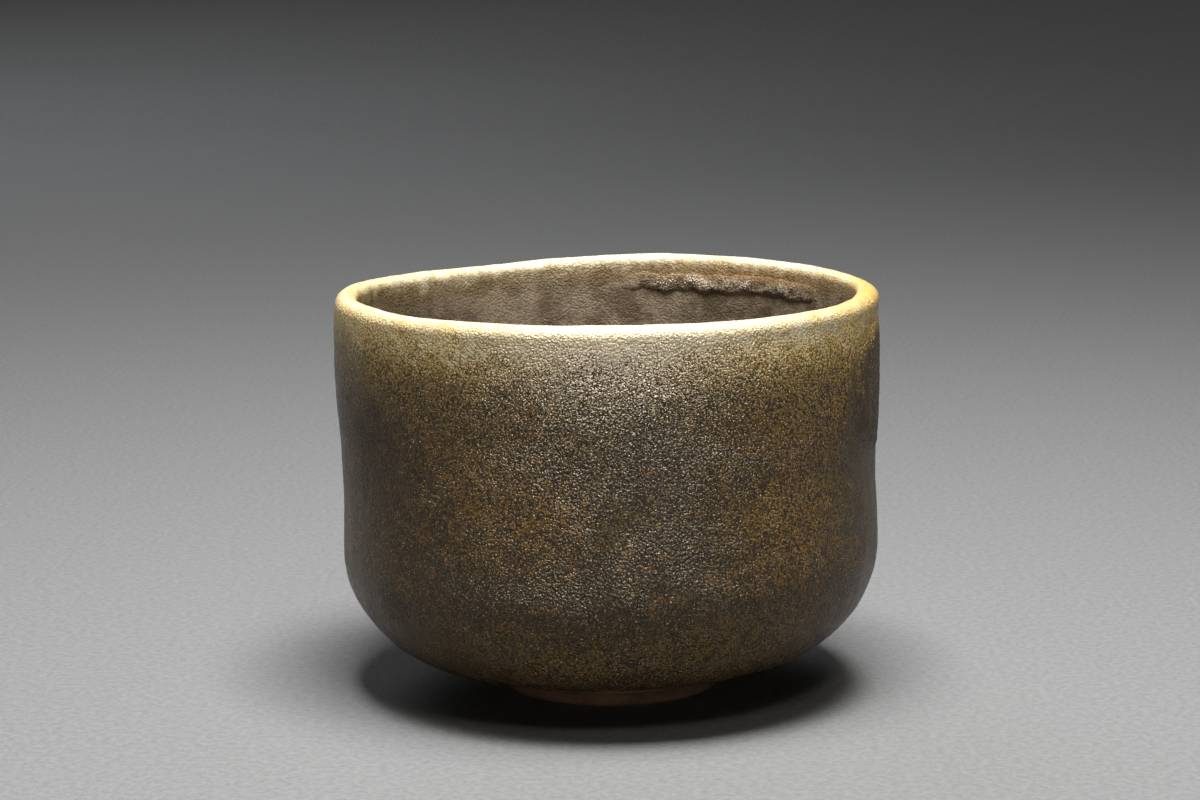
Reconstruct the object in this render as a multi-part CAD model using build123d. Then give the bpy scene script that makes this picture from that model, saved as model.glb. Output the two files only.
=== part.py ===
from build123d import *
import os
from math import copysign, cos, exp, hypot, pi, radians, sin, tan

# A hand-built tea bowl with near-upright walls, a round hip and a low foot ring.
# Millimetres, +Z up. The foot stands on Z = 0 and the middle of the bowl's box is over the origin.

# Driving dimensions of the fired and glazed bowl
RIM_HEIGHT = 86.4            # mean height of the lip's top above the table
WALL_RADIUS = 58.0           # outside of the wall
LIP_RADIUS = 2.6             # half the lip's thickness, rounded over the top
LIP_DRAWN_IN = 0.5           # how far the lip leans in from the wall
LIP_LEAN_START = 76.0        # height where that lean begins
HIP_RADIUS = 25.0            # outside corner between wall and underside
UNDERSIDE_SLOPE = 11.5       # degrees that the underside rises outwards
INNER_HIP_RADIUS = 22.0      # inside corner between wall and floor
INNER_WALL_FOOT = 51.3       # inside radius where the wall meets that corner
FLOOR_HEIGHT = 11.6          # middle of the floor, glazed
FLOOR_SLOPE = 5.0            # degrees that the floor rises outwards
FLOOR_FLAT_RADIUS = 6.0      # level patch in the middle of the floor

# Foot ring
FOOT_OUTER_RADIUS = 24.6
FOOT_INNER_RADIUS = 18.0
FOOT_HEIGHT = 4.4
FOOT_EDGE_ROUNDING = 1.1     # lower edges
FOOT_TAPER = 0.7             # how far the ring narrows on each side towards the table
FOOT_GROOVE_RADIUS = 0.8     # scored groove under the body, where the ring is luted on
RECESS_DISH_RADIUS = 17.2    # scooped clay inside the foot
RECESS_DISH_DEPTH = 1.2

# Glaze coats
COAT = 0.7                   # wall, underside and inside
LIP_COAT = 0.4               # where the glaze has run thin over the lip
CURTAIN_COAT = 0.7           # second coat over the first
LIP_BAND_OUTSIDE = 9.5       # mean depth of the thin band below the lip's top
LIP_BAND_INSIDE = 7.5
BAND_WANDER = 1.3            # how far the band's lower edge wanders
BAND_SWAYS = (0.6, 0.4)      # shares of the slow and the quick sway in that
OUTSIDE_SWAY = (4, 2.1)      # slow sways in one turn, and their phase
INSIDE_SWAY = (3, 0.8)
BAND_STEP = 0.4              # half width of the step between both edges, over the middle of the lip

# Curtains of the second coat: direction in degrees from +X, half width, lowest and highest edge
OUTSIDE_CURTAIN = (6.0, 38.0, 53.0, 80.5)
INSIDE_CURTAIN = (58.0, 29.0, 76.6, 83.0)
PATCH_POINTS = 24
PATCH_SQUARENESS = 0.6       # below 1 squares the outline off
PATCH_RIPPLE = 1.1
PATCH_RIPPLE_COUNT = 5

# Irregularity of the hand-built form
RIM_WAVES = [(1, 0.95, 18.0), (2, 0.38, 79.0), (3, 0.25, 200.0), (4, 0.22, 343.0)]
RIM_WAVE_START = 34.0        # height where the rim's waves have faded out
BULGE = 2.1                  # left side of the wall swells out under the lip
BULGE_HEIGHT = 76.0
BULGE_SPREAD = 22.4
WAIST = 0.5                  # right side pulls in at mid height
WAIST_HEIGHT = 51.0
WAIST_SPREAD = 8.0
HIP_TILT = 0.95              # underside is higher on the right and lower on the left
HIP_TILT_TOP = 62.0          # height where the tilt has faded out
OVAL = 0.3                   # wall is a little wider from front to back

# How finely the form is lofted
RING_POINTS = 32             # round the bowl
HIP_RINGS = 7                # along each stretch of the half section
LIP_RINGS = 9
INNER_HIP_RINGS = 6
WALL_RINGS = 5
FLOOR_RINGS = 2


def smooth(value):
    """Ease from 0 to 1 as value goes from 0 to 1."""
    t = min(max(value, 0.0), 1.0)
    return t * t * (3 - 2 * t)


def rim_wave(angle):
    return sum(size * cos(turns * angle - radians(phase)) for turns, size, phase in RIM_WAVES)


def hand_form(radius, angle, height):
    """Move a point of the true round form to its place on the hand-built bowl."""
    upper = smooth((height - HIP_RADIUS) / HIP_RADIUS)
    left = ((1 - cos(angle)) / 2) ** 3
    right = ((1 + cos(angle)) / 2) ** 3
    swell = BULGE * left * exp(-((height - BULGE_HEIGHT) / BULGE_SPREAD) ** 2)
    waist = WAIST * right * exp(-((height - WAIST_HEIGHT) / WAIST_SPREAD) ** 2)
    oval = -OVAL * upper * cos(2 * angle)
    outwards = smooth(radius / WALL_RADIUS)
    moved = radius + outwards * (swell - waist + oval)
    wave = rim_wave(angle) * smooth((height - RIM_WAVE_START) / (RIM_HEIGHT - RIM_WAVE_START))
    clear_of_foot = smooth((radius - FOOT_OUTER_RADIUS - COAT) / HIP_RADIUS)
    below_tilt_top = 1 - smooth((height - HIP_RADIUS) / (HIP_TILT_TOP - HIP_RADIUS))
    tilt = HIP_TILT * cos(angle) * clear_of_foot * below_tilt_top
    return moved * cos(angle), moved * sin(angle), height + wave + tilt


def arc_points(middle, radius, start, end, count):
    """Points along an arc, from the start angle to the end angle in degrees."""
    steps = [radians(start + (end - start) * i / (count - 1)) for i in range(count)]
    return [(middle[0] + radius * cos(a), middle[1] + radius * sin(a)) for a in steps]


def lean(point):
    """Draw the upper wall and the lip in a little."""
    share = smooth((point[1] - LIP_LEAN_START) / (RIM_HEIGHT - LIP_LEAN_START))
    return point[0] - LIP_DRAWN_IN * share, point[1]


def half_section():
    """Outline of the glazed bowl, from the foot over the lip to the middle of the floor."""
    hip_middle_radius = WALL_RADIUS - HIP_RADIUS
    underside_run = hip_middle_radius + HIP_RADIUS * sin(radians(UNDERSIDE_SLOPE)) - FOOT_OUTER_RADIUS
    hip_bottom = FOOT_HEIGHT + underside_run * tan(radians(UNDERSIDE_SLOPE))
    hip_middle = (hip_middle_radius, hip_bottom + HIP_RADIUS * cos(radians(UNDERSIDE_SLOPE)))
    hip = arc_points(hip_middle, HIP_RADIUS, UNDERSIDE_SLOPE - 90, 0, HIP_RINGS)
    lip_middle = (WALL_RADIUS - LIP_RADIUS, RIM_HEIGHT - LIP_RADIUS)
    lip = arc_points(lip_middle, LIP_RADIUS, 0, 180, LIP_RINGS)
    inner_hip_radius = INNER_WALL_FOOT - INNER_HIP_RADIUS
    floor_run = inner_hip_radius + INNER_HIP_RADIUS * sin(radians(FLOOR_SLOPE)) - FLOOR_FLAT_RADIUS
    floor_edge = FLOOR_HEIGHT + floor_run * tan(radians(FLOOR_SLOPE))
    inner_hip_middle = (inner_hip_radius, floor_edge + INNER_HIP_RADIUS * cos(radians(FLOOR_SLOPE)))
    inner_hip = arc_points(inner_hip_middle, INNER_HIP_RADIUS, 0, FLOOR_SLOPE - 90, INNER_HIP_RINGS)

    start = (FOOT_OUTER_RADIUS, FOOT_HEIGHT)
    underside = [start] + between(start, hip[0], 1)
    wall = between(hip[-1], lip[0], WALL_RINGS)
    inner_wall = between(lip[-1], inner_hip[0], WALL_RINGS)
    middle = (FLOOR_FLAT_RADIUS, FLOOR_HEIGHT)
    floor = between(inner_hip[-1], middle, FLOOR_RINGS) + [middle]
    return [lean(p) for p in underside + hip + wall + lip + inner_wall + inner_hip + floor]


def between(start, end, count):
    """Evenly spaced points strictly between two ends."""
    shares = [(i + 1) / (count + 1) for i in range(count)]
    return [(start[0] + s * (end[0] - start[0]), start[1] + s * (end[1] - start[1])) for s in shares]


def inset(section, thickness_at):
    """Move a half section into the bowl's material, by a thickness that depends on the height."""
    moved = []
    last = len(section) - 1
    for i, (radius, height) in enumerate(section):
        before, after = section[max(i - 1, 0)], section[min(i + 1, last)]
        along = (after[0] - before[0], after[1] - before[1])
        length = hypot(*along)
        thickness = thickness_at(height)
        if i == 0:
            moved.append((radius - thickness, height))
        elif i == last:
            moved.append((radius, height - thickness))
        else:
            moved.append((radius - thickness * along[1] / length, height + thickness * along[0] / length))
    return moved


def coat_at(height):
    """Thickness of the first glaze coat, which thins out towards the lip."""
    share = smooth((RIM_HEIGHT - height - LIP_RADIUS) / LIP_BAND_OUTSIDE)
    return LIP_COAT + (COAT - LIP_COAT) * share


def closed_curve(points):
    """Smooth closed wire whose knots are evenly spread, so that all rings of a loft share them."""
    knots = [i / len(points) for i in range(len(points) + 1)]
    return Wire([Edge.make_spline(points, periodic=True, parameters=knots)])


def ring(radius, height_at):
    """Closed smooth curve round the bowl, whose height may change with the direction."""
    points = []
    for i in range(RING_POINTS):
        angle = 2 * pi * i / RING_POINTS
        points.append(hand_form(radius, angle, height_at(angle)))
    return closed_curve(points)


def level(height):
    """The same height in every direction."""
    return lambda angle: height


def flat_ring(radius, height):
    """True level circle with the same point layout as the hand-built rings."""
    angles = [2 * pi * i / RING_POINTS for i in range(RING_POINTS)]
    return closed_curve([(radius * cos(a), radius * sin(a), height) for a in angles])


def hand_built(section):
    """Solid through the rings of a half section, folded over the lip."""
    return Solid.make_loft([ring(radius, level(height)) for radius, height in section])


def band_edge(depth, sway):
    """Wandering lower edge of the thin band over the lip, as a height for each direction."""
    turns, phase = sway
    slow, quick = BAND_SWAYS

    def height_at(angle):
        wander = slow * sin(turns * angle + phase) + quick * sin((2 * turns + 1) * angle + 2 * phase)
        return RIM_HEIGHT - depth + BAND_WANDER * wander

    return height_at


def above_band():
    """Everything above the thin band's lower edge, inside and outside."""
    inside = band_edge(LIP_BAND_INSIDE, INSIDE_SWAY)
    outside = band_edge(LIP_BAND_OUTSIDE, OUTSIDE_SWAY)
    lip_middle = WALL_RADIUS - LIP_RADIUS
    inner_radius = lip_middle - 4 * LIP_RADIUS
    far_radius = WALL_RADIUS + 3 * LIP_RADIUS
    rings = [
        flat_ring(INNER_HIP_RADIUS, RIM_HEIGHT - LIP_BAND_INSIDE),
        ring(inner_radius - BAND_STEP, inside),
        ring(lip_middle - BAND_STEP, inside),
        ring(lip_middle + BAND_STEP, outside),
        ring(far_radius, outside),
        flat_ring(far_radius, RIM_HEIGHT + 3 * LIP_RADIUS),
    ]
    return Solid.make_loft(rings, ruled=True)


def patch(direction, half_width, low, high):
    """Solid, wavy in outline, that reaches out from the axis and marks where a curtain of glaze lies."""
    outwards = (cos(radians(direction)), sin(radians(direction)), 0)
    sideways = (-sin(radians(direction)), cos(radians(direction)), 0)
    side = Plane(origin=(0, 0, 0), z_dir=outwards, x_dir=sideways)
    points = []
    for i in range(PATCH_POINTS):
        turn = 2 * pi * i / PATCH_POINTS
        across = half_width * copysign(abs(cos(turn)) ** PATCH_SQUARENESS, cos(turn))
        up = (high - low) / 2 * copysign(abs(sin(turn)) ** PATCH_SQUARENESS, sin(turn))
        ripple = PATCH_RIPPLE * sin(PATCH_RIPPLE_COUNT * turn + radians(direction))
        points.append(side.from_local_coords(Vector(across, (low + high) / 2 + up + ripple, 0)))
    return Solid.extrude(Face(closed_curve(points)), side.z_dir * 2 * WALL_RADIUS)


def foot_ring():
    """Trimmed ring of bare clay, luted under the bowl, with a scored groove at its top."""
    rounding = FOOT_EDGE_ROUNDING
    outer_low = FOOT_OUTER_RADIUS - FOOT_TAPER
    inner_low = FOOT_INNER_RADIUS + FOOT_TAPER
    groove_low = FOOT_HEIGHT - 2 * FOOT_GROOVE_RADIUS
    groove_side = FOOT_OUTER_RADIUS - FOOT_GROOVE_RADIUS
    edges = [
        Line((inner_low + rounding, 0), (outer_low - rounding, 0)),
        TangentArc((outer_low - rounding, 0), (outer_low, rounding), tangent=(1, 0)),
        Line((outer_low, rounding), (FOOT_OUTER_RADIUS, groove_low)),
        ThreePointArc((FOOT_OUTER_RADIUS, groove_low), (groove_side, groove_low + FOOT_GROOVE_RADIUS),
                      (FOOT_OUTER_RADIUS, FOOT_HEIGHT)),
        Line((FOOT_OUTER_RADIUS, FOOT_HEIGHT), (FOOT_INNER_RADIUS, FOOT_HEIGHT)),
        Line((FOOT_INNER_RADIUS, FOOT_HEIGHT), (inner_low, rounding)),
        TangentArc((inner_low + rounding, 0), (inner_low, rounding), tangent=(-1, 0)),
    ]
    section = Plane.XZ * make_face(Curve() + edges)
    return revolve(section, Axis.Z)


def recess_dish():
    """Low dome scooped from the clay inside the foot."""
    sphere_radius = (RECESS_DISH_RADIUS ** 2 + RECESS_DISH_DEPTH ** 2) / (2 * RECESS_DISH_DEPTH)
    dome = Pos(0, 0, FOOT_HEIGHT + RECESS_DISH_DEPTH - sphere_radius) * Sphere(sphere_radius)
    near_foot = Cylinder(2 * RECESS_DISH_RADIUS, 4 * RECESS_DISH_DEPTH)
    return dome & Pos(0, 0, FOOT_HEIGHT) * near_foot


def largest(shape, count=1):
    """The largest solids of a cut shape, biggest first, without boolean crumbs."""
    return sorted(shape.solids(), key=lambda s: s.volume, reverse=True)[:count]


def width(solid):
    return solid.bounding_box().size.X


def distance_out(solid):
    """Distance of a solid's middle from the bowl's axis."""
    middle = solid.center(CenterOf.MASS)
    return hypot(middle.X, middle.Y)


def main():
    section = half_section()
    glazed = hand_built(section)
    bare = hand_built(inset(section, coat_at))
    thick = hand_built(inset(section, lambda height: -CURTAIN_COAT))

    coat = glazed - bare
    band = above_band()
    below_band = largest(coat - band, 2)
    inner_glaze, outer_glaze = sorted(below_band, key=width)
    outside_curtain = largest((thick & patch(*OUTSIDE_CURTAIN)) - glazed, 2)
    inside_curtain = largest((thick & patch(*INSIDE_CURTAIN)) - glazed, 2)
    pieces = {
        "clay_body": largest(bare - recess_dish())[0],
        "foot_ring": foot_ring(),
        "outer_glaze": outer_glaze,
        "inner_glaze": inner_glaze,
        "lip_glaze": largest(coat & band)[0],
        "curtain_glaze_outside": max(outside_curtain, key=distance_out),
        "curtain_glaze_inside": min(inside_curtain, key=distance_out),
    }
    boxes = [piece.bounding_box() for piece in pieces.values()]
    middle_x = (min(box.min.X for box in boxes) + max(box.max.X for box in boxes)) / 2
    middle_y = (min(box.min.Y for box in boxes) + max(box.max.Y for box in boxes)) / 2
    os.makedirs("parts", exist_ok=True)
    for name, piece in pieces.items():
        export_step(Pos(-middle_x, -middle_y, 0) * piece, f"parts/{name}.step")
    print("axis of the foot is at", round(-middle_x, 3), round(-middle_y, 3))


main()
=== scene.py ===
from math import cos, pi, radians, sin, tan

import bpy
import numpy as np
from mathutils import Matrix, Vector


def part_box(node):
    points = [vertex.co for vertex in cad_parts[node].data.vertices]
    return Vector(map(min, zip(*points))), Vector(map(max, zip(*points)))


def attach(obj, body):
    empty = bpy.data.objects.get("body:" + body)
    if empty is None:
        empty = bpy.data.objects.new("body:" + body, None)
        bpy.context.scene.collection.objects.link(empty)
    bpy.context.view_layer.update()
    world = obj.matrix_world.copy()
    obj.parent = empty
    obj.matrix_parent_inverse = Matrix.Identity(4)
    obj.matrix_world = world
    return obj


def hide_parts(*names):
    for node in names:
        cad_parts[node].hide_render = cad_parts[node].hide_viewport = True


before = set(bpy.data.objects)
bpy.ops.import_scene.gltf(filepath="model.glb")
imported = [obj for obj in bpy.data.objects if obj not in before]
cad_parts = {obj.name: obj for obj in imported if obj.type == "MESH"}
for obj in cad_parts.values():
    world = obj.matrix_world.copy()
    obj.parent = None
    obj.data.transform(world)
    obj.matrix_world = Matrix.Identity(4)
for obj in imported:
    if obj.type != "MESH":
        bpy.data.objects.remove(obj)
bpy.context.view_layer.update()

# ---------------------------------------------------------------- sizes, in millimetres, from the frame
MM = 0.001
foot_low, foot_high = (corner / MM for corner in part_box("foot_ring"))
_, lip_high = (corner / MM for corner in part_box("lip_glaze"))
wall_low, wall_high = (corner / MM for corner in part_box("outer_glaze"))

CENTRE = np.array([(foot_low.x + foot_high.x) / 2, (foot_low.y + foot_high.y) / 2, 0.0])
FOOT_OUTER = (foot_high.x - foot_low.x) / 2
FOOT_HEIGHT = foot_high.z - foot_low.z

# The same hand-built form as the CAD solids
RIM_WAVES = [(1, 0.95, 18.0), (2, 0.38, 79.0), (3, 0.25, 200.0), (4, 0.22, 343.0)]
RIM_WAVE_START = 34.0
BULGE, BULGE_HEIGHT, BULGE_SPREAD = 2.1, 76.0, 22.4
WAIST, WAIST_HEIGHT, WAIST_SPREAD = 0.5, 51.0, 8.0
HIP_TILT, HIP_TILT_TOP = 0.95, 62.0
OVAL = 0.3
LIP_RADIUS, LIP_DRAWN_IN, LIP_LEAN_START = 2.6, 0.5, 76.0
HIP_RADIUS, UNDERSIDE_SLOPE = 25.0, 11.5
INNER_HIP_RADIUS, INNER_WALL_FOOT = 22.0, 51.3
FLOOR_HEIGHT, FLOOR_SLOPE, FLOOR_FLAT_RADIUS = 11.6, 5.0, 6.0
RECESS_RADIUS, RECESS_DEPTH = 17.2, 1.2
FOOT_INNER = 18.0
COAT = 0.7
THIN_COAT = COAT - 0.1
LIP_BAND_OUTSIDE, LIP_BAND_INSIDE = 9.5, 7.5


def rim_wave(angle):
    return sum(size * np.cos(turns * angle - radians(phase)) for turns, size, phase in RIM_WAVES)


ALL_ROUND = np.linspace(0, 2 * pi, 721)
RIM_HEIGHT = lip_high.z - rim_wave(ALL_ROUND).max()
WALL_RADIUS = (wall_high.y - wall_low.y) / 2 - OVAL - BULGE / 8

# How finely the meshes are divided: columns round the bowl, then rows over each side of a coat
COLUMNS, CLAY_COLUMNS, FOOT_COLUMNS = 560, 360, 420
OUTER_ROWS, OUTER_HIDDEN_ROWS = 165, 12
LIP_ROWS, LIP_HIDDEN_ROWS = 40, 14
INNER_ROWS, INNER_HIDDEN_ROWS = 150, 14
CLAY_ROWS, RECESS_ROWS, FOOT_ROWS = 150, 40, 66
CURTAIN_STEP_ROUND, CURTAIN_STEP_UP = 0.5, 0.45
ARC_POINTS, OUTLINE_POINTS, NORMAL_WINDOW = 80, 3000, 31


def smooth(value):
    t = np.clip(value, 0.0, 1.0)
    return t * t * (3 - 2 * t)


def hand_form(radius, angle, height):
    """Place of a point of the true round form on the hand-built bowl, as in the CAD solids."""
    upper = smooth((height - HIP_RADIUS) / HIP_RADIUS)
    left = ((1 - np.cos(angle)) / 2) ** 3
    right = ((1 + np.cos(angle)) / 2) ** 3
    swell = BULGE * left * np.exp(-((height - BULGE_HEIGHT) / BULGE_SPREAD) ** 2)
    waist = WAIST * right * np.exp(-((height - WAIST_HEIGHT) / WAIST_SPREAD) ** 2)
    moved = radius + smooth(radius / WALL_RADIUS) * (swell - waist - OVAL * upper * np.cos(2 * angle))
    wave = rim_wave(angle) * smooth((height - RIM_WAVE_START) / (RIM_HEIGHT - RIM_WAVE_START))
    clear_of_foot = smooth((radius - FOOT_OUTER - COAT) / HIP_RADIUS)
    fade = 1 - smooth((height - HIP_RADIUS) / (HIP_TILT_TOP - HIP_RADIUS))
    tilt = HIP_TILT * np.cos(angle) * clear_of_foot * fade
    place = np.stack([moved * np.cos(angle), moved * np.sin(angle), height + wave + tilt], axis=-1)
    return place + CENTRE


# ---------------------------------------------------------------- noise and masks
def lattice_value(corner, seed):
    """Unit gradients at whole-number lattice corners, the same on every run."""
    n = corner.astype(np.int64)
    h = (n[..., 0] * 73856093) ^ (n[..., 1] * 19349663) ^ (n[..., 2] * 83492791) ^ (seed * 2654435761)
    h = (h ^ (h >> 13)) * 1274126177 & 0x7FFFFFFF
    z = (h & 0xFFFF) / 32767.5 - 1
    turn = ((h >> 15) & 0xFFFF) / 65536 * 2 * pi
    across = np.sqrt(np.maximum(1 - z * z, 0))
    return np.stack([across * np.cos(turn), across * np.sin(turn), z], axis=-1)


def noise(points, size, seed, octaves=1):
    """Gradient noise, roughly from -1 to 1, whose lumps are about size apart."""
    total, weight, scale = 0.0, 1.0, np.asarray(size, float)
    for octave in range(octaves):
        p = points / scale
        base = np.floor(p)
        f = p - base
        fade = f * f * f * (f * (f * 6 - 15) + 10)
        value = 0.0
        for corner in np.ndindex(2, 2, 2):
            step = np.array(corner)
            gradient = lattice_value(base + step, seed + 17 * octave)
            dot = (gradient * (f - step)).sum(-1)
            share = np.where(step == 1, fade, 1 - fade).prod(-1)
            value = value + dot * share
        total = total + weight * value * 1.6
        weight, scale = weight * 0.5, scale * 0.5
    return total


# ---------------------------------------------------------------- outline of the bowl
def arc(middle, radius, start, end):
    """Points of an arc in the half section, between two angles in degrees."""
    steps = np.radians(np.linspace(start, end, ARC_POINTS))
    return np.stack([middle[0] + radius * np.cos(steps), middle[1] + radius * np.sin(steps)], axis=-1)


def make_outline():
    """Fine half section of the glazed bowl, from the foot over the lip to the middle of the floor."""
    hip_middle_r = WALL_RADIUS - HIP_RADIUS
    run = hip_middle_r + HIP_RADIUS * sin(radians(UNDERSIDE_SLOPE)) - FOOT_OUTER
    hip_bottom = FOOT_HEIGHT + run * tan(radians(UNDERSIDE_SLOPE))
    hip = arc((hip_middle_r, hip_bottom + HIP_RADIUS * cos(radians(UNDERSIDE_SLOPE))),
              HIP_RADIUS, UNDERSIDE_SLOPE - 90, 0)
    lip = arc((WALL_RADIUS - LIP_RADIUS, RIM_HEIGHT - LIP_RADIUS), LIP_RADIUS, 0, 180)
    inner_r = INNER_WALL_FOOT - INNER_HIP_RADIUS
    floor_run = inner_r + INNER_HIP_RADIUS * sin(radians(FLOOR_SLOPE)) - FLOOR_FLAT_RADIUS
    floor_edge = FLOOR_HEIGHT + floor_run * tan(radians(FLOOR_SLOPE))
    inner_hip = arc((inner_r, floor_edge + INNER_HIP_RADIUS * cos(radians(FLOOR_SLOPE))),
                    INNER_HIP_RADIUS, 0, FLOOR_SLOPE - 90)
    ends = [np.array([[FOOT_OUTER, FOOT_HEIGHT]]), hip, lip, inner_hip,
            np.array([[FLOOR_FLAT_RADIUS, FLOOR_HEIGHT], [0.25, FLOOR_HEIGHT]])]
    points = np.concatenate(ends)
    lean = smooth((points[:, 1] - LIP_LEAN_START) / (RIM_HEIGHT - LIP_LEAN_START))
    points[:, 0] -= LIP_DRAWN_IN * lean
    length = np.concatenate([[0], np.cumsum(np.hypot(*np.diff(points, axis=0).T))])
    fine = np.linspace(0, length[-1], OUTLINE_POINTS)
    r, z = np.interp(fine, length, points[:, 0]), np.interp(fine, length, points[:, 1])
    # the directions are evened out so that the normals turn softly where arcs and lines meet
    kernel = np.hanning(NORMAL_WINDOW) / np.hanning(NORMAL_WINDOW).sum()
    half = NORMAL_WINDOW // 2
    dr, dz = np.gradient(r, fine), np.gradient(z, fine)
    dr = np.convolve(np.pad(dr, half, mode="edge"), kernel, mode="valid")
    dz = np.convolve(np.pad(dz, half, mode="edge"), kernel, mode="valid")
    size = np.hypot(dr, dz)
    top = fine[np.argmax(z)]
    return fine, r, z, dz / size, -dr / size, top


ALONG, OUT_R, OUT_Z, NORMAL_R, NORMAL_Z, TOP = make_outline()
END = ALONG[-1]


def section_at(along):
    """Radius, height and normal of the outline at a length along it."""
    return tuple(np.interp(along, ALONG, values) for values in (OUT_R, OUT_Z, NORMAL_R, NORMAL_Z))


def angles(columns=COLUMNS):
    return np.arange(columns) * 2 * pi / columns


# ---------------------------------------------------------------- shape detail, as lift off the form
# Pimples, and pits where the last figure is negative: direction in degrees, height, radius, how tall
PIMPLES = [(-63.0, 35.0, 0.9, 0.35), (-52.5, 39.5, 0.7, 0.25), (-98.0, 62.0, 0.8, 0.2),
           (-112.0, 73.5, 0.6, 0.2), (-79.0, 71.4, 1.0, 0.3), (-108.0, 68.5, 0.8, -0.25),
           (-134.0, 55.0, 0.8, 0.2), (-70.0, 56.0, 0.7, -0.2), (20.0, 30.0, 0.9, 0.3),
           (95.0, 52.0, 1.0, 0.3), (150.0, 40.0, 0.8, 0.25), (201.0, 66.0, 0.7, 0.25)]
SKIN_BELOW_SOLID = 0.3      # keeps every lump of the skin inside the solid's outline


def surface_lift(along, angle):
    """How far the fired glaze stands above or below the plain form, in millimetres."""
    r, z, _, _ = section_at(along)
    place = hand_form(r, angle, z)
    # broad and small hollows pressed by hand, then level bands round the wall
    lift = 0.26 * noise(place, 27.0, 1, 2) + 0.10 * noise(place, 8.5, 2, 2)
    lift = lift + 0.13 * noise(place, (46.0, 46.0, 8.0), 3)
    # a more uneven hip
    hip = smooth((HIP_RADIUS + 12 - z) / 16) * (along < TOP)
    lift = lift + 0.28 * hip * noise(place, (21.0, 21.0, 11.0), 4)
    # fine skin, calmer on the lip
    near_lip = smooth(1 - np.abs(along - TOP) / 12)
    lift = lift + 0.05 * (1 - 0.5 * near_lip) * noise(place, 2.6, 5, 2)
    for direction, height, radius, tall in PIMPLES:
        aside = (np.mod(angle - radians(direction) + pi, 2 * pi) - pi) * WALL_RADIUS
        away = (aside ** 2 + (z - height) ** 2) / radius ** 2
        lift = lift + tall * np.exp(-away) * (along < TOP)
    return lift - SKIN_BELOW_SOLID


def skin(along, angle, under=0.0):
    """Points of the glaze surface, or of a surface that lies under it."""
    r, z, nr, nz = section_at(along)
    lift = surface_lift(along, angle) - under
    return hand_form(r + lift * nr, angle, z + lift * nz)


def band_edge_outside(angle):
    """Where the lip's coat starts outside, as a length along the outline."""
    wander = 0.6 * np.sin(4 * angle + 2.1) + 0.4 * np.sin(9 * angle + 4.2)
    return TOP - LIP_BAND_OUTSIDE - 1.2 + 1.3 * wander


def band_edge_inside(angle):
    """Where the lip's coat ends inside, as a length along the outline."""
    wander = 0.6 * np.sin(3 * angle + 0.8) + 0.4 * np.sin(7 * angle + 1.6)
    return TOP + LIP_BAND_INSIDE + 1.0 - 1.3 * wander


# ---------------------------------------------------------------- meshes
def ring_mesh(name, rows, closed=False, poles=()):
    """Mesh of quads from rows of points round the bowl. closed joins the last row to the first one."""
    rows = np.asarray(rows)
    count, columns = rows.shape[:2]
    points = rows.reshape(-1, 3)
    i = np.arange(count if closed else count - 1)[:, None]
    j = np.arange(columns)[None, :]
    up, on = (i + 1) % count, (j + 1) % columns
    corners = [i * columns + j, i * columns + on, up * columns + on, up * columns + j]
    quads = np.stack(corners, -1).reshape(-1, 4)
    # the texture layer lays each half turn in a strip of its own
    half = columns // 2
    u0 = np.broadcast_to((j % half) / half, (len(i), columns))
    u1 = u0 + 1 / half
    strip = np.broadcast_to(j // half, (len(i), columns)) * 0.5
    v = np.concatenate([np.arange(count), [count]]) / count
    v0 = strip + 0.005 + 0.49 * np.broadcast_to(v[i], (len(i), columns))
    v1 = strip + 0.005 + 0.49 * np.broadcast_to(v[i + 1], (len(i), columns))
    uv = np.stack([u0, v0, u1, v0, u1, v1, u0, v1], -1).reshape(-1, 4, 2)
    return finish_mesh(name, points, quads, uv, rows, poles)


def finish_mesh(name, points, quads, uv, rows=None, poles=()):
    """Blender object from quads, closed by a fan of triangles from each pole to its row of points."""
    faces = [tuple(q) for q in quads.tolist()]
    uvs = uv.reshape(-1, 2).tolist()
    points = points.tolist()
    if rows is not None:
        count, columns = rows.shape[:2]
        for row, place, flip in poles:
            points.append(list(place))
            for j in range(columns):
                pair = (row * columns + j, row * columns + (j + 1) % columns)
                faces.append((len(points) - 1,) + (pair if flip else pair[::-1]))
                uvs += [[0.5, 0.997], [0.5 + 0.5 / columns, 0.999], [0.5, 0.999]]
    mesh = bpy.data.meshes.new(name)
    mesh.from_pydata([[c * MM for c in p] for p in points], [], faces)
    layer = mesh.uv_layers.new(name="OFBake")
    layer.data.foreach_set("uv", np.array(uvs, np.float32).ravel())
    mesh.polygons.foreach_set("use_smooth", [True] * len(mesh.polygons))
    mesh.set_sharp_from_angle(angle=radians(50))
    piece = bpy.data.objects.new(name, mesh)
    bpy.context.scene.collection.objects.link(piece)
    return piece


def spread(start, end, count):
    """Rows of places along the outline, between two edges that may wander round the bowl."""
    share = np.linspace(0, 1, count)[:, None]
    return (1 - share) * start + share * end


def make_outer():
    """Dark coat on the outside, from the foot up to the lip's coat: a thin closed shell."""
    a = angles()[None, :]
    front = spread(np.zeros(COLUMNS), band_edge_outside(angles()), OUTER_ROWS)
    back = spread(band_edge_outside(angles()), np.zeros(COLUMNS), OUTER_HIDDEN_ROWS)
    rows = np.concatenate([skin(front, a), skin(back, a, COAT)])
    return ring_mesh("outer_glaze_coat", rows, closed=True), np.concatenate([front, back])


def make_lip():
    """Thinner coat over the lip."""
    a = angles()[None, :]
    low, high = band_edge_outside(angles()), band_edge_inside(angles())
    front, back = spread(low, high, LIP_ROWS), spread(high, low, LIP_HIDDEN_ROWS)
    rows = np.concatenate([skin(front, a), skin(back, a, THIN_COAT)])
    return ring_mesh("lip_glaze_band", rows, closed=True), np.concatenate([front, back])


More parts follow.
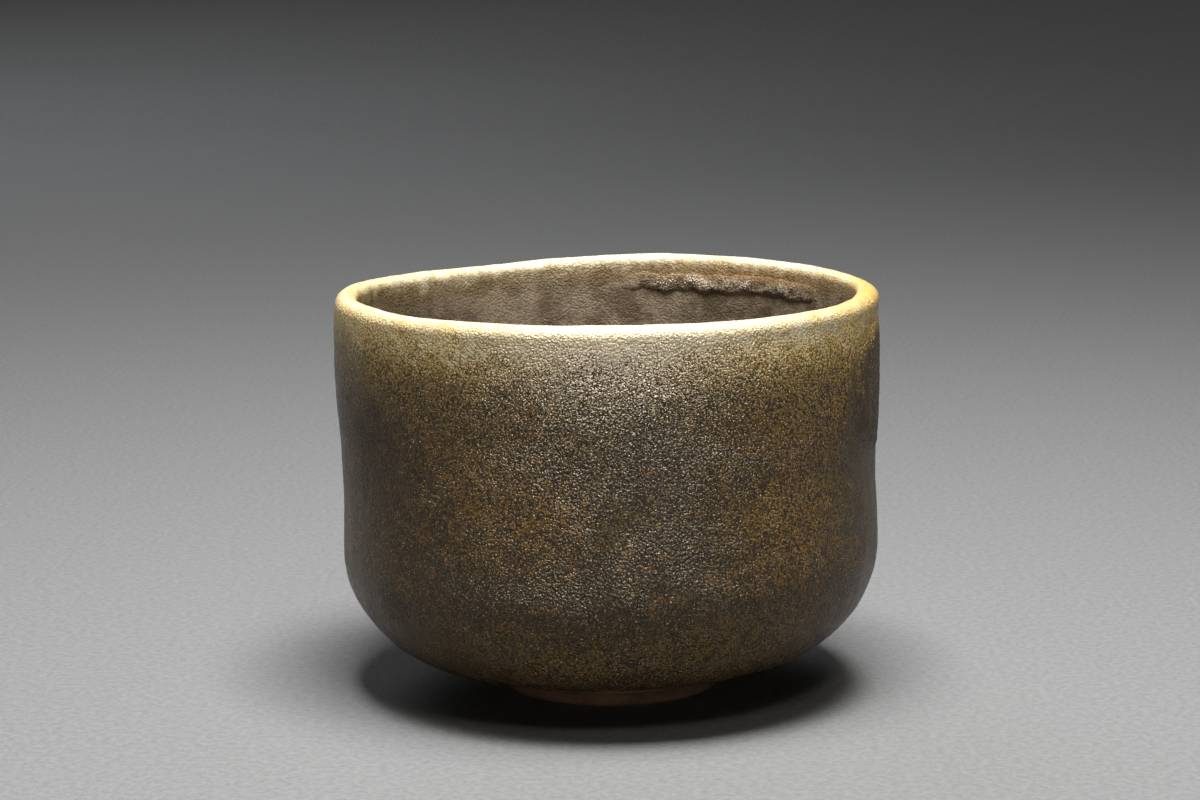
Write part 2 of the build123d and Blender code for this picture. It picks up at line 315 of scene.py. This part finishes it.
def make_inner():
    """Coat on the inside wall and floor, closed by a point in the middle of the floor."""
    a = angles()[None, :]
    edge = band_edge_inside(angles())
    end = np.full(COLUMNS, END)
    front, back = spread(edge, end, INNER_ROWS), spread(end, edge, INNER_HIDDEN_ROWS)
    rows = np.concatenate([skin(back, a, COAT), skin(front, a)])
    under = CENTRE + np.array([0, 0, skin(np.full((1, 1), END), a[:, :1], COAT)[0, 0, 2]])
    over = CENTRE + np.array([0, 0, skin(np.full((1, 1), END), a[:, :1])[0, 0, 2]])
    poles = [(0, under, False), (len(rows) - 1, over, True)]
    return ring_mesh("inner_glaze_coat", rows, poles=poles), np.concatenate([back, front])


outer, outer_along = make_outer()
lip, lip_along = make_lip()
inner, inner_along = make_inner()


def make_clay():
    """The clay cup, with the turned recess inside the foot."""
    a = angles(CLAY_COLUMNS)[None, :]
    ones = np.ones(CLAY_COLUMNS)
    recess = []
    for share in np.linspace(0.02, 1, RECESS_ROWS):
        radius = RECESS_RADIUS * share
        dome = RECESS_DEPTH * (1 - share ** 2)
        turning = 0.07 * np.sin(2 * pi * radius / 2.3 + a[0]) * smooth((1 - share) * 8)
        flat = np.stack([radius * np.cos(a[0]), radius * np.sin(a[0]), (FOOT_HEIGHT + dome) * ones], -1)
        lift = turning + 0.12 * noise(flat, 7.0, 21, 2)
        recess.append(flat + CENTRE + np.stack([0 * ones, 0 * ones, lift], -1))
    along = spread(0.0 * ones, END * ones, CLAY_ROWS)
    cup = skin(along, a, COAT)
    rows = np.concatenate([np.array(recess), cup])
    poles = [(0, CENTRE + np.array([0, 0, FOOT_HEIGHT + RECESS_DEPTH]), False),
             (len(rows) - 1, CENTRE + np.array([0, 0, cup[-1, 0, 2]]), True)]
    return ring_mesh("clay_cup", rows, poles=poles)


def make_foot():
    """Foot ring with a scored groove at its top, trimmed by hand and a little uneven."""
    taper, edge, groove = 0.7, 1.3, 0.8
    highest = 0.1
    outer_low, inner_low = FOOT_OUTER - taper, FOOT_INNER + taper
    groove_low = FOOT_HEIGHT - 2 * groove
    parts = [np.array([[FOOT_INNER, FOOT_HEIGHT]]),
             arc((inner_low + edge, edge), edge, 180, 270),
             arc((outer_low - edge, edge), edge, 270, 360),
             arc((FOOT_OUTER, groove_low + groove), groove, 270, 90)]
    line = np.concatenate(parts)
    length = np.concatenate([[0], np.cumsum(np.hypot(*np.diff(line, axis=0).T))])
    even = np.linspace(0, length[-1], FOOT_ROWS)
    r, z = np.interp(even, length, line[:, 0]), np.interp(even, length, line[:, 1])
    nr, nz = np.gradient(z, even), -np.gradient(r, even)
    a = angles(FOOT_COLUMNS)[None, :]
    r, z, nr, nz = (np.broadcast_to(v[:, None], (len(even), FOOT_COLUMNS)) for v in (r, z, nr, nz))
    place = np.stack([r * np.cos(a), r * np.sin(a), z], -1)
    inside = smooth(np.minimum(z / 0.8, (FOOT_HEIGHT - z) / 0.5))
    lift = 0.14 * noise(place, 9.0, 31, 2) + 0.05 * noise(place, 2.2, 32, 2)
    lift = lift + 0.07 * noise(place, (16.0, 16.0, 1.1), 33)
    lift = np.minimum(lift, highest) * inside
    # small chips along the lower edge
    chips = np.maximum(noise(place, 3.4, 34) - 0.55, 0) * 1.2 * smooth(1 - np.abs(z - 0.4) / 0.7)
    radius, height = r + (lift - chips) * nr, np.maximum(z + (lift - chips) * nz, 0)
    rows = np.stack([radius * np.cos(a), radius * np.sin(a), height], -1) + CENTRE
    return ring_mesh("foot_ring_clay", rows, closed=True)


def slab_mesh(name, top, under):
    """Closed thin slab from two equal grids of points, rows up the wall and columns round the bowl."""
    rows, columns = top.shape[:2]
    points = np.concatenate([top.reshape(-1, 3), under.reshape(-1, 3)])
    number = np.arange(rows * columns).reshape(rows, columns)
    below = number + rows * columns

    def quads(lower, upper):
        return np.stack([lower[:-1], lower[1:], upper[1:], upper[:-1]], -1).reshape(-1, 4)

    faces, uvs = [], []
    u, v = np.linspace(0.01, 0.99, columns), np.linspace(0.06, 0.99, rows)
    for i in range(rows - 1):
        faces.append(quads(number[i], number[i + 1]))
        corner = np.stack([np.stack([u[:-1], u[1:], u[1:], u[:-1]], -1),
                           np.broadcast_to([v[i], v[i], v[i + 1], v[i + 1]], (columns - 1, 4))], -1)
        uvs.append(corner)
        faces.append(quads(below[i + 1], below[i]))
        uvs.append(corner * [1, 0.02])
    edges = [(below[0], number[0]), (number[-1], below[-1]),
             (number[:, 0], below[:, 0]), (below[:, -1], number[:, -1])]
    for lower, upper in edges:
        faces.append(quads(lower, upper))
        square = [[0.0, 0.03], [0.01, 0.03], [0.01, 0.04], [0.0, 0.04]]
        uvs.append(np.broadcast_to(square, (len(lower) - 1, 4, 2)))
    return finish_mesh(name, points, np.concatenate(faces), np.concatenate(uvs))


def curtain(name, direction, half_width, low, high, inside):
    """Second coat of glaze whose lumpy rolled edge sinks into the coat below it."""
    margin_round, margin_up = 4, 3
    reach = half_width + margin_round
    columns = int(2 * reach / CURTAIN_STEP_ROUND)
    rows = int((high - low + 2 * margin_up) / CURTAIN_STEP_UP)
    radius = INNER_WALL_FOOT if inside else WALL_RADIUS
    across = np.linspace(-reach, reach, columns)[None, :]
    height = np.linspace(low - margin_up, high + margin_up, rows)[:, None]
    angle = radians(direction) + across / radius
    part = ALONG > TOP if inside else ALONG <= TOP
    order = np.argsort(OUT_Z[part])
    along = np.interp(height, OUT_Z[part][order], ALONG[part][order])
    across, height, angle, along = np.broadcast_arrays(across, height, angle, along)
    r, z, _, _ = section_at(along)
    place = hand_form(r, angle, z)
    # a rounded rectangle on the wall
    squareness = 3.3
    wide, tall = np.abs(across / half_width), np.abs((height - (low + high) / 2) / ((high - low) / 2))
    rim = (wide ** squareness + tall ** squareness) ** (1 / squareness)
    from_edge = (1 - rim) * (high - low) / 2
    if inside:
        # only the coat's lower edge is left: a steep lobed ridge that fades upwards
        lobes = noise(place, (6.0, 6.0, 40.0), 41, 2)
        lumps = noise(place, 3.6, 42, 2)
        ends = smooth((1 - wide) * 2.2)
        rise = smooth((height - low - 0.9 + 1.1 * lobes) / 1.1)
        fall = 1 - smooth((height - low - 2.6 + 0.8 * lobes) / 3.4)
        coat = np.maximum(0.6 + 0.45 * lumps, 0.15) * rise * fall * ends
        # pale crystals crowd on the lumps, partly a painted highlight on their tops
        crystal_glint_streak = smooth(0.5 + lumps)
    else:
        # an uneven patch that thins to nothing at a ragged edge
        from_edge = from_edge + 1.9 * noise(place, (7.5, 7.5, 14.0), 41, 3)
        body = 0.42 + 0.22 * noise(place, (9.0, 9.0, 14.0), 43, 2) + 0.12 * noise(place, 2.4, 44, 2)
        coat = body * smooth(from_edge / 3.5)
        # streaks of pale crystals, partly painted glints
        crystal_glint_streak = smooth((noise(place, (1.5, 1.5, 2.8), 45, 3) + 0.05) / 0.8)
    # beyond its edge the coat goes under the one below, so that no step shows
    sunk = 0.3
    top = skin(along, angle, sunk - (coat + sunk) * smooth(coat / 0.12 + 0.4))
    under = skin(along, angle, THIN_COAT)
    if inside:
        top, under = top[::-1], under[::-1]
        along, angle, coat, crystal_glint_streak = along[::-1], angle[::-1], coat[::-1], crystal_glint_streak[::-1]
    piece = slab_mesh(name, top, under)
    return (piece,) + tuple(np.concatenate([values, values]) for values in (along, angle, coat, crystal_glint_streak))


clay = make_clay()
foot = make_foot()
outside_curtain = curtain("curtain_glaze_right", 5.0, 40.0, 53.0, 80.5, False)
inside_curtain = curtain("curtain_glaze_inner", 58.0, 29.0, 76.6, 83.0, True)


# ---------------------------------------------------------------- materials
class Nodes:
    """Short ways to add shader nodes and join them."""

    def __init__(self, name):
        self.material = bpy.data.materials.new(name)
        self.material.use_nodes = True
        self.tree = self.material.node_tree
        self.shader = self.tree.nodes["Principled BSDF"]
        self.where = self.tree.nodes.new("ShaderNodeTexCoord").outputs["Object"]

    def feed(self, socket, value):
        if isinstance(value, bpy.types.NodeSocket):
            self.tree.links.new(value, socket)
        else:
            socket.default_value = value

    def math(self, operation, a, b=0.0, clamp=False):
        node = self.tree.nodes.new("ShaderNodeMath")
        node.operation, node.use_clamp = operation, clamp
        self.feed(node.inputs[0], a)
        self.feed(node.inputs[1], b)
        return node.outputs[0]

    def plus(self, a, b, clamp=False):
        return self.math("ADD", a, b, clamp)

    def minus(self, a, b, clamp=False):
        return self.math("SUBTRACT", a, b, clamp)

    def times(self, a, b, clamp=False):
        return self.math("MULTIPLY", a, b, clamp)

    def sway(self, pattern, amount, middle=0.5):
        """A pattern as a shift either way, nothing where the pattern is at its middle value."""
        return self.times(self.minus(pattern, middle), amount)

    def band(self, value, low, high, start=0.0, end=1.0):
        """Smooth step of a value between two limits."""
        node = self.tree.nodes.new("ShaderNodeMapRange")
        node.interpolation_type = "SMOOTHSTEP"
        for socket, item in zip(("Value", "From Min", "From Max", "To Min", "To Max"),
                                (value, low, high, start, end)):
            self.feed(node.inputs[socket], item)
        return node.outputs["Result"]

    def mix(self, share, a, b):
        node = self.tree.nodes.new("ShaderNodeMix")
        node.data_type = "RGBA"
        self.feed(node.inputs[0], share)
        for socket, item in ((node.inputs[6], a), (node.inputs[7], b)):
            self.feed(socket, item if isinstance(item, bpy.types.NodeSocket) else (*item, 1.0))
        return node.outputs[2]

    def noise(self, millimetres, detail=2.0, rough=0.55, offset=0.0, stretch=(1, 1, 1)):
        place = self.tree.nodes.new("ShaderNodeMapping")
        self.feed(place.inputs["Vector"], self.where)
        place.inputs["Location"].default_value = (offset, offset * 0.7, offset * 1.3)
        place.inputs["Scale"].default_value = stretch
        node = self.tree.nodes.new("ShaderNodeTexNoise")
        self.feed(node.inputs["Vector"], place.outputs[0])
        node.inputs["Scale"].default_value = 1 / (millimetres * MM)
        node.inputs["Detail"].default_value = detail
        node.inputs["Roughness"].default_value = rough
        return node.outputs["Fac"]

    def cells(self, millimetres):
        node = self.tree.nodes.new("ShaderNodeTexVoronoi")
        self.feed(node.inputs["Vector"], self.where)
        node.inputs["Scale"].default_value = 1 / (millimetres * MM)
        return node.outputs["Distance"]

    def attribute(self, name):
        node = self.tree.nodes.new("ShaderNodeAttribute")
        node.attribute_name = name
        return node.outputs["Fac"]

    def bump(self, height, distance):
        node = self.tree.nodes.new("ShaderNodeBump")
        node.inputs["Distance"].default_value = distance
        node.inputs["Strength"].default_value = 1.0
        self.feed(node.inputs["Height"], height)
        return node.outputs[0]

    def set(self, **values):
        for name, value in values.items():
            self.feed(self.shader.inputs[name.replace("_", " ")], value)


DARK = (0.026, 0.018, 0.010)
BROWN = (0.080, 0.046, 0.014)
GOLD = (0.170, 0.094, 0.018)
GREY = (0.045, 0.034, 0.023)
INNER = (0.230, 0.185, 0.135)
INNER_DARK = (0.105, 0.078, 0.052)
POOL = (0.055, 0.040, 0.027)
RUST = (0.180, 0.092, 0.024)
AMBER = (0.200, 0.105, 0.042)
# pale crystals: real specks, and painted glints where they crowd under the lip
PALE_CRYSTAL_GLINT = (0.850, 0.785, 0.680)
WARM_CRYSTAL_GLINT = (0.700, 0.500, 0.230)
OLIVE = (0.235, 0.158, 0.036)
HONEY = (0.450, 0.305, 0.085)
CREAM = (0.490, 0.438, 0.310)


# Sizes of the patterns in the glaze, in millimetres
GRAIN_SIZE, PEBBLE_SIZE, CRYSTAL_SIZE = 0.30, 0.56, 0.33
PATCH_SIZE, MOTTLE_SIZE, BLOTCH_SIZE, LIVELY_SIZE, CLOUD_SIZE = 2.4, 5.0, 6.5, 8.0, 22.0
GLAZE_BUMP = 0.40


def glaze_skin(n):
    """Round pebbles with finer grain over them: the height of the fired skin, from about 0 to 1."""
    grain = n.noise(GRAIN_SIZE, 2.0, 0.6, 0.0, (1.0, 1.0, 1.4))
    cell = n.cells(PEBBLE_SIZE)
    pebble = n.minus(1.0, n.times(n.times(cell, cell), 2.0), True)
    return n.plus(n.times(pebble, 0.55), n.times(grain, 0.7))


def wall_colour(n, mottle, patches, dark):
    """Brown wall with golden, grey and dark clouds, and small rusty and dark patches."""
    clouds = n.noise(CLOUD_SIZE, 2.0, 0.5, 0.8)
    gold = n.plus(n.attribute("gold"), n.sway(mottle, 1.5), True)
    grey = n.plus(n.attribute("grey"), n.sway(clouds, 0.8), True)
    dark = n.plus(dark, n.sway(clouds, 0.8, 0.45), True)
    colour = n.mix(dark, n.mix(grey, n.mix(gold, BROWN, GOLD), GREY), DARK)
    colour = n.mix(n.band(patches, 0.53, 0.66, 0.0, 0.75), colour, RUST)
    return n.mix(n.band(patches, 0.48, 0.36, 0.0, 0.75), colour, DARK), dark


def inside_colour(n):
    """Blotchy grey brown, amber above the rolled edge and darker towards the floor."""
    blotch = n.band(n.noise(BLOTCH_SIZE, 3.0, 0.6, 1.7), 0.36, 0.62)
    within = n.mix(n.attribute("amber"), n.mix(blotch, INNER_DARK, INNER), AMBER)
    return n.mix(n.attribute("pool"), within, POOL)


def glaze_material(name):
    """Granular dark glaze that thins to honey and cream over the lip."""
    n = Nodes(name)
    fine = glaze_skin(n)
    mottle = n.noise(MOTTLE_SIZE, 3.0, 0.6, 0.3)
    patches = n.noise(PATCH_SIZE, 3.0, 0.65, 3.3)
    calm, depth, tint_front_highlight = (n.attribute(mask) for mask in ("calm", "lip_depth", "lip_tint_front_highlight"))

    colour, dark = wall_colour(n, mottle, patches, n.attribute("dark"))
    colour = n.mix(n.attribute("inside"), colour, inside_colour(n))

    # the lip's olive and honey run down the wall in a ragged edge, much weaker at the front, where the
    # paler tone is a painted highlight
    grit = n.times(n.minus(1.0, calm), 8.0)
    ragged = n.plus(depth, n.plus(n.sway(mottle, 9.0), n.sway(patches, 12.0)))
    ragged = n.plus(ragged, n.times(n.minus(0.66, fine), grit))
    colour = n.mix(n.times(n.band(ragged, 7.0, 26.0, 0.9, 0.0), tint_front_highlight), colour, OLIVE)
    colour = n.mix(n.times(n.band(ragged, 3.0, 16.0, 0.9, 0.0), tint_front_highlight), colour, HONEY)

    # painted shade in the gaps between the pebbles, and pale crystals on them, partly painted glints
    gap_shade = n.times(n.band(fine, 0.80, 0.42), n.band(depth, 3.0, 20.0, 0.5, 1.2))
    colour = n.mix(n.times(gap_shade, n.minus(0.85, calm), True), colour, DARK)
    # the crystals lie thinly all over; the mask adds painted glints, thick under the lip at the front
    # and on the second coats' lumps, white at the front and warm elsewhere
    crystal_glint_level = n.plus(n.noise(CRYSTAL_SIZE, 1.0, 0.5, 2.1, (1.0, 1.0, 1.6)),
                     n.times(n.attribute("pale_crystal_glint"), 0.32))
    crystal_glint_spot = n.band(crystal_glint_level, 0.665, 0.735)
    colour = n.mix(n.times(crystal_glint_spot, n.minus(0.82, calm)), colour, n.mix(tint_front_highlight, PALE_CRYSTAL_GLINT, WARM_CRYSTAL_GLINT))

    # cream to honey on the lip itself
    warmth = n.plus(n.attribute("warm"), n.sway(mottle, 1.2), True)
    colour = n.mix(n.band(ragged, 2.0, 12.0, 0.95, 0.0), colour, n.mix(warmth, CREAM, HONEY))

    rough = n.plus(n.times(mottle, 0.25), n.times(calm, 0.3))
    rough = n.plus(n.plus(rough, n.times(dark, 0.25)), 0.10)
    n.set(Base_Color=colour, Roughness=rough, Specular_IOR_Level=0.4)
    n.set(Specular_Tint=(1.0, 0.86, 0.68, 1.0))

    lively = n.band(n.noise(LIVELY_SIZE, 2.0, 0.5, 4.1), 0.36, 0.62, 0.7, 1.15)
    calmer = n.minus(1.0, n.times(lively, n.minus(1.0, calm)))
    relief = n.times(n.band(depth, 1.5, 5.0, 0.25, 1.0), n.minus(1.0, calmer))
    n.set(Normal=n.bump(n.times(fine, relief), GLAZE_BUMP * MM))
    return n.material


def clay_material(name, colour, light):
    """Bare fired clay between two tones, with pale grit."""
    n = Nodes(name)
    grit = n.noise(0.5, 2.0, 0.7)
    cloud = n.noise(7.0, 3.0, 0.6)
    tone = n.mix(n.band(cloud, 0.35, 0.7), colour, light)
    tone = n.mix(n.band(grit, 0.62, 0.75), tone, tuple(min(1, 2.2 * c) for c in light))
    n.set(Base_Color=tone, Roughness=n.band(cloud, 0.3, 0.7, 0.72, 0.88))
    n.set(Normal=n.bump(grit, 0.12 * MM))
    return n.material


def blob(angle, height, spots):
    """Sum of soft patches, each with a direction in degrees, a height, two half sizes and a strength."""
    total = np.zeros(np.broadcast(angle, height).shape)
    for direction, middle, wide, tall, strength in spots:
        aside = (np.mod(angle - radians(direction) + pi, 2 * pi) - pi) * WALL_RADIUS
        total = total + strength * np.exp(-((aside / wide) ** 2 + ((height - middle) / tall) ** 2))
    return total


# Clouds of colour on the outside: direction in degrees, height, half width, half height, strength
GOLD_SPOTS = [(-32, 72, 9, 9, 0.9), (-119, 66, 14, 14, 0.5), (-110, 48, 13, 9, 0.9),
              (-150, 78, 20, 6, 0.8), (-46, 62, 13, 20, 1.1), (-52, 42, 14, 9, 0.8),
              (-62, 19, 22, 7, 0.9), (-108, 19, 26, 7, 0.9), (60, 50, 25, 25, 0.7),
              (120, 40, 22, 25, 0.6), (-160, 50, 8, 8, 0.4)]
GREY_SPOTS = [(-81, 62, 15, 14, 0.9), (-76, 40, 15, 9, 0.8), (-119, 32, 12, 5, 0.9),
              (-96, 76, 26, 7, 0.5), (-92, 32, 12, 6, 0.6), (-173, 36, 6, 20, 0.5),
              (95, 60, 25, 20, 0.6), (170, 30, 20, 12, 0.5)]
DARK_SPOTS = [(-27, 66, 4, 13, 0.7), (-147, 60, 11, 10, 0.8), (-174, 35, 10, 25, 0.4),
              (-8, 66, 22, 14, 0.5), (-20, 18, 30, 8, 0.3), (-150, 14, 30, 8, 0.4),
              (-83, 57, 11, 15, 0.6), (-10, 40, 12, 25, 0.4), (35, 45, 18, 12, 0.6),
              (140, 66, 16, 10, 0.6)]


def towards(angle, direction, width):
    """One where the bowl faces the direction, in degrees, falling to nothing away from it."""
    away = np.mod(np.degrees(angle) - direction + 180, 360) - 180
    return np.exp(-(away / width) ** 2)


def paint(piece, along, angle=None, coat=None, crystal_glint_streak=0.0):
    """Store the masks that the glaze is coloured by. coat is how thick the second coat lies there."""
    a = np.broadcast_to(angles()[None, :], along.shape) if angle is None else angle
    _, z, _, _ = section_at(along)
    depth = np.abs(along - TOP)
    inside = smooth((along - TOP) / 3)
    outside = 1 - inside
    thick = np.zeros(along.shape) if coat is None else smooth(coat / 0.6)
    # the front side, which gets the painted highlight and glints under the lip
    front = towards(a, -90, 30)
    above_ridge = smooth((z - 80) / 2) * towards(a, 50, 32)
    floor = inside * smooth((44 - z) / 26)
    # painted glints: most within about 13 mm of the lip, and at the front
    near_lip = np.exp(-depth / 13) * (0.3 + 0.9 * front)
    masks = {
        # where the second coat, the inside and the lip are
        "inside": inside,
        "lip_depth": depth * (1 + inside) + 9 * thick,
        # clouds of colour on the outside, darker under the second coat
        "gold": 1.1 * blob(a, z, GOLD_SPOTS) * outside - 0.5 * thick,
        "grey": blob(a, z, GREY_SPOTS) * outside - 0.6 * thick * outside,
        "dark": blob(a, z, DARK_SPOTS) * outside + 0.8 * thick * outside,
        # the floor and the left wall inside are darker, and it is amber above the rolled edge
        "pool": np.maximum(0.85 * floor, 0.5 * inside * towards(a, 150, 40)),
        "amber": 0.8 * above_ridge * inside * (1 - thick),
        # honey and cream over the lip, the honey weaker at the front as a painted highlight, and pale
        # crystals below it with painted glints crowding near the lip at the front
        "lip_tint_front_highlight": (1 - 0.85 * front) * (1 - 0.8 * inside),
        "warm": 0.9 * towards(a, -5, 35) + 0.6 * towards(a, -165, 45),
        "pale_crystal_glint": near_lip * outside * (1 - thick) + 0.35 * thick * crystal_glint_streak,
        # how smooth the skin is
        "calm": 0.66 * inside * (1 - 0.6 * thick),
    }
    for name, values in masks.items():
        layer = piece.data.attributes.new(name, "FLOAT", "POINT")
        flat = values.ravel()
        padded = np.concatenate([flat, np.full(len(piece.data.vertices) - len(flat), flat[-1])])
        layer.data.foreach_set("value", padded.astype(np.float32))


glaze = glaze_material("granular_glaze")
body_clay = clay_material("body_clay", (0.10, 0.055, 0.035), (0.17, 0.09, 0.055))
foot_clay = clay_material("foot_clay", (0.105, 0.062, 0.039), (0.18, 0.108, 0.07))
for piece, along in ((outer, outer_along), (lip, lip_along), (inner, inner_along)):
    paint(piece, along)
for piece, along, angle, coat, crystal_glint_streak in (outside_curtain, inside_curtain):
    paint(piece, along, angle, coat, crystal_glint_streak)

for piece, node, slot, material in (
        (outer, "outer_glaze", "dark_glaze", glaze), (lip, "lip_glaze", "honey_glaze", glaze),
        (inner, "inner_glaze", "inner_glaze", glaze), (clay, "clay_body", "clay", body_clay),
        (foot, "foot_ring", "foot_clay", foot_clay),
        (outside_curtain[0], "curtain_glaze_outside", "curtain_glaze", glaze),
        (inside_curtain[0], "curtain_glaze_inside", "curtain_glaze", glaze)):
    piece.data.materials.append(material)
    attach(piece, "root")
    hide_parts(node)


# ---------------------------------------------------------------- stage, light and camera
def make_stage():
    """Pale floor that curves up into a wall all round."""
    flat, bend, top = 1.3, 2.2, 4.0
    turns = 96
    curve = [(flat + bend * sin(t), bend - bend * cos(t)) for t in np.linspace(0.1, pi / 2, 14)]
    profile = [(0.3, 0.0), (0.9, 0.0), (flat, 0.0)] + curve + [(flat + bend, top)]
    points = [(r * cos(t), r * sin(t), z) for r, z in profile for t in angles(turns)] + [(0, 0, 0)]
    faces = []
    for start in range(0, turns * (len(profile) - 1), turns):
        for j in range(turns):
            k = (j + 1) % turns
            faces.append((start + j, start + turns + j, start + turns + k, start + k))
    faces += [(len(points) - 1, j, (j + 1) % turns) for j in range(turns)]
    mesh = bpy.data.meshes.new("stage_floor")
    mesh.from_pydata(points, [], faces)
    mesh.polygons.foreach_set("use_smooth", [True] * len(mesh.polygons))
    floor = bpy.data.objects.new("stage_floor", mesh)
    bpy.context.scene.collection.objects.link(floor)
    n = Nodes("pale_felt")
    fuzz = n.noise(1.6, 3.0, 0.7)
    pale = n.mix(n.band(fuzz, 0.3, 0.7), (0.125, 0.128, 0.133), (0.155, 0.159, 0.165))
    n.set(Base_Color=pale, Roughness=0.95, Specular_IOR_Level=0.1, Normal=n.bump(fuzz, 0.4 * MM))
    mesh.materials.append(n.material)


def softbox(name, place, target, width, depth, power, colour=(1, 1, 1)):
    """Soft area light, in metres and watts, facing its target."""
    light = bpy.data.lights.new(name, "AREA")
    light.shape, light.size, light.size_y = "RECTANGLE", width, depth
    light.energy, light.color = power, colour
    lamp = bpy.data.objects.new(name, light)
    lamp.location = place
    lamp.rotation_euler = (Vector(target) - Vector(place)).to_track_quat("-Z", "Y").to_euler()
    bpy.context.scene.collection.objects.link(lamp)


make_stage()
softbox("overhead", (0.03, -0.12, 0.75), (0, 0, 0.05), 0.34, 0.28, 18.5, (1.0, 0.98, 0.94))
softbox("front_fill", (0.25, -0.75, 0.95), (0, 0, 0.05), 0.22, 0.22, 2.2, (1.0, 0.92, 0.80))
softbox("low_fill", (0.0, -1.6, 0.22), (0, 0, 0.02), 1.2, 0.3, 2.8, (1.0, 0.88, 0.72))
softbox("rear_fill", (-0.6, 1.4, 0.9), (0, 0.1, 0.0), 0.9, 0.9, 9.0)
world = bpy.data.worlds.new("studio")
world.use_nodes = True
world.node_tree.nodes["Background"].inputs[0].default_value = (1.0, 0.99, 0.97, 1.0)
world.node_tree.nodes["Background"].inputs[1].default_value = 0.11
bpy.context.scene.world = world
bpy.context.scene.view_settings.view_transform = "Standard"

CAMERA_FROM_CENTRE, CAMERA_DOWN = (-2.3, -601.7, 163.7), 9.62
camera_data = bpy.data.cameras.new("camera")
camera_data.lens, camera_data.sensor_width = 85.0, 36.0
camera = bpy.data.objects.new("camera", camera_data)
camera.location = (Vector(CENTRE) + Vector(CAMERA_FROM_CENTRE)) * MM
camera.rotation_euler = (radians(90 - CAMERA_DOWN), 0, 0)
bpy.context.scene.collection.objects.link(camera)
bpy.context.scene.camera = camera
